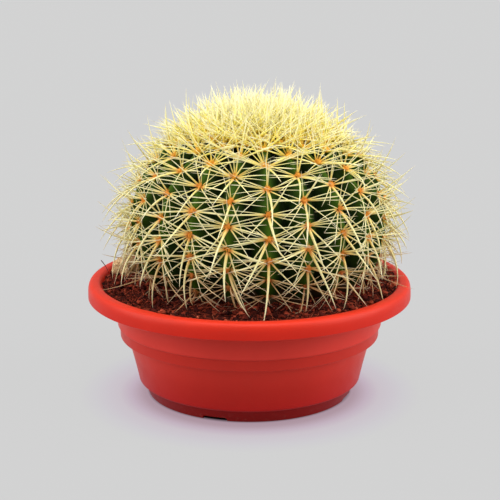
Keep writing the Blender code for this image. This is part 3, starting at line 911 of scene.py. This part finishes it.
def crest_at(arc):
    """Radius, height and outward normal (radial and upward part) of the crest at the arc lengths."""
    step = 0.0015
    ahead = np.minimum(arc + step, APEX_ARC)
    behind = ahead - 2 * step
    run_r = np.interp(ahead, ARC, ARC_R) - np.interp(behind, ARC, ARC_R)
    run_z = np.interp(ahead, ARC, ARC_Z) - np.interp(behind, ARC, ARC_Z)
    length = np.hypot(run_r, run_z)
    return np.interp(arc, ARC, ARC_R), np.interp(arc, ARC, ARC_Z), run_z / length, -run_r / length


def rib_depth(arc, radius):
    """How deep the valleys lie: less at the soil line, and out at the crown."""
    start = RIB_AT_SOIL + (1 - RIB_AT_SOIL) * smooth((arc - SOIL_ARC) / RIB_START)
    return np.minimum(RIB_DEPTH * start, SHALLOWEST * radius)


def flank(share):
    """The skin's depth from the crest, at 0, to the valley, at 1, with a rounded crest."""
    raised = (share * share + CREST_ROUND ** 2) ** (FLANK_POWER / 2) - CREST_ROUND ** FLANK_POWER
    full = (1 + CREST_ROUND ** 2) ** (FLANK_POWER / 2) - CREST_ROUND ** FLANK_POWER
    return raised / full


def skin_at_soil():
    """The plant's radius at the top of the mix, by the share of the way from a crest to a valley."""
    shares = np.linspace(0.0, 1.0, 41)
    arcs = ARC[ARC <= 0]
    r, z, out, up = crest_at(arcs)
    depths = [rib_depth(arcs, r) * flank(share) for share in shares]
    return shares, [np.interp(SOIL_Z + SOIL_RISE, z - depth * up, r - depth * out) for depth in depths]


SKIN_SHARE, SKIN_R = skin_at_soil()


def areole_arc(number):
    if number < CROWN_START:
        return LEVEL_ARC + SPACING * number + WIDENING * max(number, 0) ** 2
    above = number - CROWN_START
    return CROWN_ARC + CROWN_SPACING * above - NARROWING * above * above


def areoles():
    """(rib, number, turn, arc) of every areole. Neighbouring ribs are half a spacing apart, but for
    the two at the back."""
    found = []
    for rib in range(RIBS):
        first = FIRST_AREOLE + 0.5 * (min(rib, RIBS - rib) % 2)
        for number in np.arange(first, LAST_AREOLE + 0.25):
            found.append((rib, number, FIRST_RIB + PITCH * rib, areole_arc(number)))
    return found


def make_body(look):
    """The ribbed body, a little raised round each areole and pinched between them."""
    arcs = np.linspace(SOIL_ARC - 0.005, APEX_ARC - 0.0016, BODY_ROWS)
    r, z, out, up = (value[:, None] for value in crest_at(arcs))
    place = np.arange(RIBS * BODY_COLUMNS) / BODY_COLUMNS
    rib = np.round(place).astype(int) % RIBS
    share = 2 * np.abs(place - np.round(place))
    depth = rib_depth(arcs[:, None], r) * flank(share)
    turn = FIRST_RIB + PITCH * place
    swell = np.zeros((BODY_ROWS, len(place)))
    for index, _, _, arc in areoles():
        for height, below, width in SWELLS:
            swell += height * np.exp(-(((arcs - arc + below) / width) ** 2))[:, None] * (rib == index)
    swell = (swell - PINCH) * np.exp(-((share / 0.42) ** 2)) * smooth(r / 0.05)
    points = on_plant(r - depth * out, turn, z - depth * up)
    inward = SKIN_FINE * rough_noise(points, 0.016, 11, 3) * smooth(r / 0.03) - swell
    points = on_plant(r - (depth + inward) * out, turn, z - (depth + inward) * up)
    cork = smooth(1 - (arcs[:, None] - SOIL_ARC) / 0.016) + 0 * share
    rings = [on_plant(root_r, turn, root_z) for root_r, root_z in ROOT[::-1]] + list(points)
    flat, faces = closed_rings(rings, [AXIS_X, 0.0, ROOT_END_Z], [AXIS_X, 0.0, float(z[-1, 0])])
    root = np.ones(len(ROOT) * len(turn))
    values = {
        "valley": np.concatenate([root, np.tile(share, BODY_ROWS), [0.0, 0.0]]),
        "cork": np.concatenate([root, cork.ravel(), [1.0, 0.0]]),
    }
    piece("body", look, "cactus", flat, faces, values)


def frame_at(turn, arc):
    """Point, outward normal, uphill and sideways directions on a rib's crest."""
    r, z, out, up = crest_at(arc)
    side = np.array([math.cos(turn), math.sin(turn), 0.0])
    away = np.array([math.sin(turn), -math.cos(turn), 0.0])
    normal = away * out + np.array([0.0, 0.0, up])
    uphill = np.array([0.0, 0.0, out]) - away * up
    return on_plant(r, turn, z), normal, uphill, side


def age_at(arc):
    """0 at the crown, 0.5 on the sides and 1 on the oldest areoles, near the soil."""
    return 0.5 - 0.5 * rise(arc, *YELLOW_ARC) + 0.5 * rise(arc, *OLD_ARC)


def leaving(at, angle, raised):
    """The directions along the skin and off it, for a turn from uphill and a lift."""
    _, normal, uphill, side = at
    flat = uphill * math.cos(angle) + side * math.sin(angle)
    return flat, flat * math.cos(raised) + normal * math.sin(raised)


def spine_rows():
    """The areoles' spines. Each is its start, direction, the direction that it curves to, its curve,
    the skin's normal, its length, root radius, age, tone and zone."""
    rng = np.random.default_rng(SEED + 2)
    rows = []
    for rib, number, turn, arc in areoles():
        at = point, normal, _, _ = frame_at(turn, arc)
        zone = next(name for name, lowest in ZONES if arc > lowest)
        youth, age = rise(arc, *YOUNG_ARC), age_at(arc)
        old, thinner = rise(age, *OLDEST_AGE), THINNER * rise(arc, *THIN_ARC)
        for kind, around, swing, lift, lift_swing, length, radius, share, curve in KINDS:
            for sign in ((1,) if around in (0, 180) else (-1, 1)):
                over_lip = kind == "down" and (rib, number) == OVER_LIP
                if rng.random() > (share + youth) * (1 - OLD_FEWER * old) and not over_lip:
                    continue
                swung = swing * (1 + YOUNG_SWING * youth) * rng.normal(0, SWING)
                angle = math.radians(around * sign + swung)
                raised = lift + lift_swing * rng.normal(0, SWING)
                if kind == "outward":
                    raised += youth * YOUNG_OUTWARD
                else:
                    raised += youth * ((YOUNG_LIFT - lift) * YOUNG_PULL + YOUNG_SCATTER * rng.normal())
                raised = math.radians(min(raised, STEEPEST))
                if over_lip:
                    angle, raised = OVER_LIP_LEAVING
                flat, direction = leaving(at, angle, raised)
                long = length * (1 + 0.10 * rng.normal()) * 0.001
                if kind in ("up", "slant_high"):
                    long *= 1 + 0.6 * youth
                if kind == "down":
                    long *= 1 - 0.2 * youth - 0.16 * old
                back = flat * math.sin(raised) - normal * math.cos(raised)
                toward = unit(back + np.cross(direction, back) * rng.normal(0, 0.35))
                bend = math.radians(curve * (1 - 0.75 * youth) * rng.uniform(0.5, 1.5) + 2 * rng.normal())
                if over_lip:
                    long, bend = OVER_LIP_LENGTH, OVER_LIP_BEND
                start = point + flat * ROOT_OUT - normal * ROOT_SUNK
                thick = radius * 0.001 * rng.uniform(0.85, 1.12) * (1 - OLD_THINNER * old)
                thick *= 1 - thinner + YOUNG_THICKER * youth * (kind != "down")
                rows.append((start, direction, toward, bend, normal, long, thick, age, rng.random(), zone))
        for _ in range(round(TUFT * youth)):
            rows.append(loose_row(rng, at, TUFT_LIFT, TUFT_LENGTH, age, zone))
    return rows


def loose_row(rng, at, lift, length, age, zone):
    """A spine in any direction round the normal, lifted off the skin by an angle in this range."""
    point, normal, _, _ = at
    angle = rng.uniform(0, 2 * math.pi)
    _, direction = leaving(at, angle, math.radians(rng.uniform(*lift)))
    toward = unit(np.cross(direction, normal))
    bend = math.radians(8 * rng.normal())
    return (point - normal * ROOT_SUNK, direction, toward, bend, normal, rng.uniform(*length),
            rng.uniform(*TUFT_RADIUS), age, rng.random(), zone)


def crown_rows():
    """Spines of the newest areoles, in all directions, round the very middle of the crown."""
    rng = np.random.default_rng(SEED + 3)
    rows = []
    for i in range(NEWEST):
        arc = APEX_ARC - NEWEST_ARC[0] - NEWEST_ARC[1] * math.sqrt(i / NEWEST)
        at = frame_at(i * GOLDEN_ANGLE, arc)
        rows += [loose_row(rng, at, NEWEST_LIFT, NEWEST_LENGTH, 0.0, "crown") for _ in range(NEWEST_SPINES)]
    return rows


def lip_height(radius):
    """The height of the bowl's lip at this radius, or nought inside it, over the mix."""
    share = np.clip((radius - LIP_CREST_R) / (LIP_R - LIP_CREST_R), 0, 1)
    dome = (1 - share ** LIP_FULLNESS) ** (1 / LIP_FULLNESS)
    z = LIP_BOTTOM_Z + (LIP_TOP_Z - LIP_BOTTOM_Z) * dome - 0.7 * np.maximum(LIP_CREST_R - radius, 0)
    return np.where(radius > LIP_INNER_R, z, 0.0)


def lifted(line, radii):
    """The spine's line, raised where it would run into the mix or the bowl's lip."""
    out = np.hypot(line[..., 0], line[..., 1])
    ground = np.where(out > LIP_INNER_R, 0.0, soil_height(line[..., 0], line[..., 1]) + CLEAR_OF_MIX)
    least = np.maximum(ground, lip_height(out) + CLEAR_OF_LIP) + radii
    line = line.copy()
    line[..., 2] = np.maximum(line[..., 2], least)
    return line


def curved_lines(start, direction, toward, bend, length, steps):
    """Points along arcs that leave their starts in one direction and turn towards another."""
    turn = np.where(np.abs(bend) < 0.001, 0.001, bend)[:, None, None]
    along = steps[None, :, None]
    ahead = np.sin(turn * along) / turn
    aside = (1 - np.cos(turn * along)) / turn
    return start[:, None] + (direction[:, None] * ahead + toward[:, None] * aside) * length[:, None, None]


def swept(line, radii, reference, sides, pointed, flatness=1.0):
    """Points, faces and map of closed tubes along lines of points. Pointed ones end in one point."""
    count, knots = line.shape[:2]
    hoops = knots - 1 if pointed else knots
    tangent = unit(np.gradient(line, axis=1))
    across = np.cross(tangent, np.broadcast_to(reference, tangent.shape))
    other_way = np.cross(tangent, np.broadcast_to([0.31, 0.93, 0.17], tangent.shape))
    across = unit(np.where(np.linalg.norm(across, axis=2, keepdims=True) < 0.05, other_way, across))
    upright = flatness * np.cross(across, tangent)
    turns = circle(sides)[:, None]
    around = across[:, :hoops, None] * np.cos(turns) + upright[:, :hoops, None] * np.sin(turns)
    points = (line[:, :hoops, None] + around * radii[:, :hoops, None, None]).reshape(count, -1, 3)
    if pointed:
        points = np.concatenate([points, line[:, -1:]], axis=1)
    each = points.shape[1]
    start = np.arange(sides)[::-1][None]
    last = (hoops - 1) * sides
    end = fan(last, sides, each - 1) if pointed else last + np.arange(sides)[None]
    first = (np.arange(count) * each)[:, None, None]
    parts = (ring_quads(hoops, sides), start, end)
    faces = [(part[None] + first).reshape(-1, part.shape[1]) for part in parts]
    return points.reshape(-1, 3), faces, swept_map(count, knots, hoops, sides)


def swept_map(count, knots, hoops, sides):
    """The map of the tubes' faces, in the faces' order, with one cell of a grid for each tube."""
    v = np.linspace(0.08, 0.92, knots)
    sectors = [(k / sides, (k + 1) / sides) for k in range(sides)]
    bands = zip(v, v[1:hoops])
    quads = [((a, low), (b, low), (b, high), (a, high)) for low, high in bands for a, b in sectors]
    turns = circle(sides)
    disc = np.column_stack([0.5 + 0.4 * np.cos(turns), 0.035 + 0.03 * np.sin(turns)])
    tips = [((a, v[-2]), (b, v[-2]), ((a + b) / 2, v[-1])) for a, b in sectors]
    end = tips if hoops < knots else 1 - disc
    return np.concatenate([cells(count, part) for part in (quads, disc[::-1], end)])


def tapering(name, look, rows, rings, sides, clear):
    """A piece of spines or hairs. Clear ones are kept off the mix and the bowl's lip."""
    start, direction, toward, bend, normal, length, radius, age, tone = map(np.array, zip(*rows))
    steps = np.array([*rings, 1.0])
    for _ in range(40):
        line = curved_lines(start, direction, toward, bend, length, steps)
        far = (np.abs(line[..., :2]).max(axis=(1, 2)) > REACH) | (line[..., 2].max(axis=1) > TOP_REACH)
        if not far.any():
            break
        length = np.where(far, length * 0.97, length)
    radii = radius[:, None] * (1 - steps) ** 0.62 * (1 + 0.15 * np.exp(-((steps / 0.04) ** 2)))
    if clear:
        line = lifted(line, radii)
    points, faces, uv = swept(line, radii, normal[:, None], sides, True, SPINE_FLATNESS)
    each = len(points) // len(rows)
    along = np.append(np.repeat(rings, sides), 1.0)
    values = {"age": np.repeat(age, each), "tone": np.repeat(tone, each)}
    piece(name, look, "cactus", points, faces, {"along": np.tile(along, len(rows)), **values}, uv)


def make_spines(look):
    """The spines, in one piece for each zone of the plant."""
    rows = spine_rows() + crown_rows()
    for zone, _ in ZONES:
        chosen = [row[:-1] for row in rows if row[-1] == zone]
        tapering(f"spines_{zone}", look, chosen, SPINE_RINGS, SPINE_SIDES, clear=True)


def make_areoles(look):
    """The felt pads, and the short hairs that stand on them."""
    rng = np.random.default_rng(SEED + 4)
    shape, faces = ball(3)
    points, ages, tones, hairs = [], [], [], []
    for _, _, turn, arc in areoles():
        point, normal, uphill, side = frame_at(turn, arc)
        age = age_at(arc)
        wide, tall, thick = size = PAD + PAD_YOUNG * rise(arc, *YOUNG_ARC)
        pad = shape * size * (1 + 0.28 * rough_noise(shape + rng.uniform(0, 40, 3), 0.7, 3, 2)[:, None])
        points.append(point + pad[:, :1] * side + pad[:, 1:2] * uphill + (pad[:, 2:] - 0.0002) * normal)
        ages.append(age)
        tones.append(rng.random())
        for _ in range(HAIRS):
            angle, out = rng.uniform(0, 2 * math.pi), math.sqrt(rng.random())
            spot = 0.95 * out * (side * wide * math.cos(angle) + uphill * tall * math.sin(angle))
            root = point + spot + normal * thick * 0.8 * math.sqrt(max(0.0, 1 - out * out))
            lean = unit(spot / 0.004 + normal * rng.uniform(0.3, 1.0) + 0.25 * rng.normal(size=3))
            toward = unit(np.cross(lean, rng.normal(size=3)))
            hairs.append((root, lean, toward, rng.uniform(0.1, 0.9), normal, rng.uniform(*HAIR_LENGTH),
                          HAIR_RADIUS, age, rng.random()))
    values = {"age": np.repeat(ages, len(shape)), "tone": np.repeat(tones, len(shape))}
    every, uv = copies(shape, faces, len(points))
    piece("areoles", look, "cactus", np.concatenate(points), every, values, uv)
    tapering("areole_felt", look, hairs, (0.0, 0.5), 3, clear=False)


def make_crown_wool(look):
    """The woolly cushion in the middle of the crown, under the newest spines."""
    rows = 22
    turns = circle(96)
    arcs = APEX_ARC - np.linspace(*WOOL, rows)
    r, z, out, up = (value[:, None] for value in crest_at(arcs))
    inner = smooth(np.linspace(0.0, 2.5, rows)[:, None])
    points = on_plant(r + 0 * turns, turns, z)
    raised = WOOL_HEIGHT * inner * (1 + 0.35 * rough_noise(points, 0.005, 5, 3)) - WOOL_SUNK
    points = on_plant(r + raised * out, turns, z + raised * up)
    bottom = [AXIS_X, 0.0, float(z[0, 0]) - 0.003]
    top = [AXIS_X, 0.0, float(points[-1, :, 2].mean())]
    piece("crown_wool", look, "cactus", *closed_rings(list(points), bottom, top))


def make_fibres(look):
    """Loose coir fibres lying on the mix, curved and crossing."""
    rng = np.random.default_rng(SEED + 5)
    places = scattered(rng, FIBRES, 0.002)
    count = len(places)
    length = rng.uniform(*FIBRE_LENGTH, count)
    heading = rng.uniform(0, 2 * np.pi, count)
    curl = rng.normal(0, FIBRE_CURL, count)
    steps = np.linspace(-0.5, 0.5, FIBRE_KNOTS)
    angle = heading[:, None] + curl[:, None] * steps
    dx, dy = (np.cumsum(way(angle), axis=1) * length[:, None] / FIBRE_KNOTS for way in (np.cos, np.sin))
    x, y = places[:, :1] + dx, places[:, 1:] + dy
    inside = np.minimum(1.0, (wall_radius(soil_height(x, y)) - 0.0010) / np.hypot(x, y))
    x, y = x * inside, y * inside
    arch = rng.uniform(0.0, FIBRE_ARCH, count)[:, None] * np.sin(np.pi * (steps + 0.5))
    z = soil_surface(x, y) + FIBRE_REST + arch + 0.0003 * rng.normal(size=(count, 1))
    line = np.stack([x, y, z], axis=-1)
    radii = rng.uniform(*FIBRE_RADIUS, count)[:, None] * (1 - 0.7 * np.abs(2 * steps) ** 3)
    strands("fibres", look, line, radii, 4, rng.beta(3.2, 1.6, count))


def strands(name, look, line, radii, sides, tone):
    """A piece of strands along lines of points, blunt at both ends."""
    points, faces, uv = swept(line, radii, [0.12, 0.07, 0.99], sides, pointed=False)
    values = {"tone": np.repeat(tone, len(points) // len(line))}
    piece(name, look, "soil", points, faces, values, uv)


def make_litter(husk_material, twig_material):
    """The dried husk and the short twig at the bowl's left edge."""
    shape, faces = ball(4)
    crumpled = shape * (1 + 0.6 * rough_noise(shape, 0.55, 2, 4)[:, None]) * HUSK_SIZE
    crumpled[:, 2] += 0.0014 * np.sin(9 * shape[:, 0] + 4 * shape[:, 1])
    base = np.array([*HUSK_AT, soil_height(*np.array(HUSK_AT)) + 0.5 * HUSK_SIZE[2]])
    piece("husk", husk_material, "soil", crumpled + base, [faces])
    steps = np.linspace(0, 1, 12)[:, None]
    line = np.array(TWIG_FROM) * (1 - steps) + np.array(TWIG_TO) * steps
    line[:, 0] += 0.0008 * np.sin(3 * steps[:, 0])
    radii = TWIG_RADIUS * (1 - 0.5 * steps[:, 0])
    strands("twig", twig_material, line[None], radii[None], 8, [0.2])


def make_studio():
    """The glowing floor, the surroundings, the lights and the camera."""
    scene = bpy.context.scene
    scene.view_settings.view_transform = "Standard"
    scene.view_settings.look = "None"
    world = bpy.data.worlds.new("studio")
    world.use_nodes = True
    world.node_tree.nodes["Background"].inputs["Color"].default_value = (*WORLD_TONE, 1.0)
    scene.world = world
    corners = [(FLOOR_SIZE * x, FLOOR_SIZE * y, 0.0) for x, y in ((-1, -1), (1, -1), (1, 1), (-1, 1))]
    floor = linked("floor", mesh_of("floor", corners, [np.array([[0, 1, 2, 3]])]))
    floor.data.materials.append(floor_look())
    floor.location.z = -FLOOR_DROP
    for name, turn, height, width, level in LIGHTS:
        lamp = bpy.data.lights.new(name, "SUN")
        lamp.angle = math.radians(width)
        lamp.energy = math.pi * level
        linked(name, lamp).rotation_euler = (math.radians(90 - height), 0.0, math.radians(turn))
    camera = bpy.data.cameras.new("camera")
    camera.lens = CAMERA_LENS
    camera.sensor_width = 36.0
    camera.clip_start, camera.clip_end = CAMERA_CLIP
    scene.camera = linked("camera", camera)
    scene.camera.location = CAMERA_AT
    scene.camera.rotation_euler = (CAMERA_PITCH, 0.0, 0.0)


make_studio()
make_bowl(plastic_look())
make_mix(grainy_look("mix_mass"))
coir = crumb_look()
make_crumbs(coir)
make_fibres(coir)
make_litter(grainy_look("dry_husk"), grainy_look("dry_twig"))
make_body(skin_look())
make_areoles(felt_look())
make_crown_wool(grainy_look("crown_wool"))
make_spines(spine_look())
